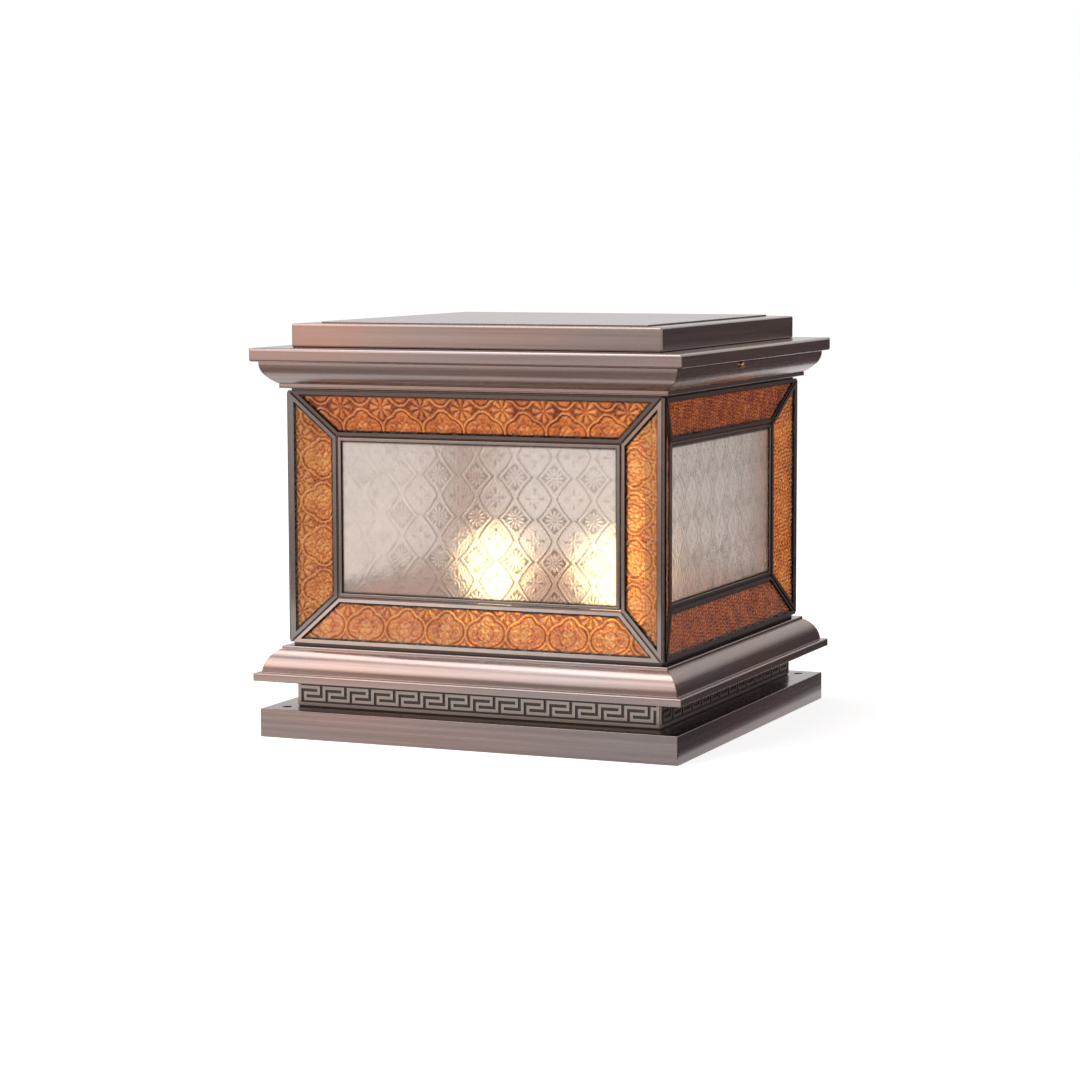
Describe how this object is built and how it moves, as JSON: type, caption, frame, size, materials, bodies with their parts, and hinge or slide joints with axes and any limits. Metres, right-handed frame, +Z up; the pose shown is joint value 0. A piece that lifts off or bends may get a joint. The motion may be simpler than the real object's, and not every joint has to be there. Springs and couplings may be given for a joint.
{
  "type": "deck post cap light",
  "caption": "Square glazed lantern that caps a deck post or pier: bolted base plate, key-fret neck, coffered amber and clear glass sides, lift-off moulded roof.",
  "frame": {"origin": "centre of the base plate's underside, at the height where the lantern stands on the post", "axes": "+Z up, -Y out of the front side and +X out of the right side; the four sides are alike"},
  "size_m": [0.3068, 0.3068, 0.2788],
  "materials": {
    "bronze_steel": "brushed stainless steel coloured a pinkish bronze",
    "bronze_fret": "brushed light bronze",
    "came_metal": "dark bronze glazing channel, satin",
    "post_steel": "dark bronze paint",
    "black_steel": "satin black",
    "tray_steel": "plain mill sheet",
    "amber_glass": "rolled patterned glass, amber",
    "clear_glass": "rolled patterned glass, clear and obscured",
    "bulb_glass": "lit warm white globe",
    "cap_metal": "plated screw cap",
    "white_ceramic": "glazed porcelain",
    "white_plastic": "moulded terminal block",
    "black_rubber": "moulded grommet",
    "foam_rubber": "closed-cell sealing strip",
    "zinc_steel": "zinc plated",
    "brass_screw": "plain brass",
    "wire_insulation": "sleeved lead"
  },
  "bodies": {
    "lantern": {"base_plate": "bronze_steel", "cable_grommet": "black_rubber", "neck_band": "black_steel", "key_frets": "bronze_fret", "lamp_tray": "tray_steel", "sill_frame": "black_steel", "corner_posts": "post_steel", "top_collar": "black_steel", "roof_gasket": "foam_rubber", "terminal_block": "white_plastic", "fixing_screws": "zinc_steel", "lead_wires": "wire_insulation", "base_moulding_front": "bronze_steel", "border_came_front": "came_metal", "centre_came_front": "came_metal", "clear_pane_front": "clear_glass", "amber_front_bottom": "amber_glass", "amber_front_right": "amber_glass", "amber_front_top": "amber_glass", "amber_front_left": "amber_glass", "base_moulding_right": "bronze_steel", "border_came_right": "came_metal", "centre_came_right": "came_metal", "clear_pane_right": "clear_glass", "amber_right_bottom": "amber_glass", "amber_right_right": "amber_glass", "amber_right_top": "amber_glass", "amber_right_left": "amber_glass", "base_moulding_back": "bronze_steel", "border_came_back": "came_metal", "centre_came_back": "came_metal", "clear_pane_back": "clear_glass", "amber_back_bottom": "amber_glass", "amber_back_right": "amber_glass", "amber_back_top": "amber_glass", "amber_back_left": "amber_glass", "base_moulding_left": "bronze_steel", "border_came_left": "came_metal", "centre_came_left": "came_metal", "clear_pane_left": "clear_glass", "amber_left_bottom": "amber_glass", "amber_left_right": "amber_glass", "amber_left_top": "amber_glass", "amber_left_left": "amber_glass", "lampholder_left": "white_ceramic", "lampholder_right": "white_ceramic"},
    "roof": {"roof_skirt": "tray_steel", "cap_frame": "bronze_steel", "top_plate": "bronze_steel", "cornice_front": "bronze_steel", "cornice_right": "bronze_steel", "cornice_back": "bronze_steel", "cornice_left": "bronze_steel"},
    "bulb_left": {"bulb_cap_left": "cap_metal", "bulb_glass_left": "bulb_glass"},
    "bulb_right": {"bulb_cap_right": "cap_metal", "bulb_glass_right": "bulb_glass"},
    "lock_screw_left": {"lock_screw_left": "brass_screw"},
    "lock_screw_right": {"lock_screw_right": "brass_screw"}
  },
  "joints": [
    {"name": "roof_lift", "type": "slide", "parent": "lantern", "child": "roof", "axis": [0, 0, 1], "range_m": [0, 0.04]},
    {"name": "bulb_left_out", "type": "slide", "parent": "lantern", "child": "bulb_left", "axis": [0, 0, 1], "range_m": [0, 0.032]},
    {"name": "bulb_right_out", "type": "slide", "parent": "lantern", "child": "bulb_right", "axis": [0, 0, 1], "range_m": [0, 0.032]},
    {"name": "lock_screw_left_out", "type": "slide", "parent": "roof", "child": "lock_screw_left", "axis": [-1, 0, 0], "range_m": [0, 0.004]},
    {"name": "lock_screw_right_out", "type": "slide", "parent": "roof", "child": "lock_screw_right", "axis": [1, 0, 0], "range_m": [0, 0.004]}
  ]
}
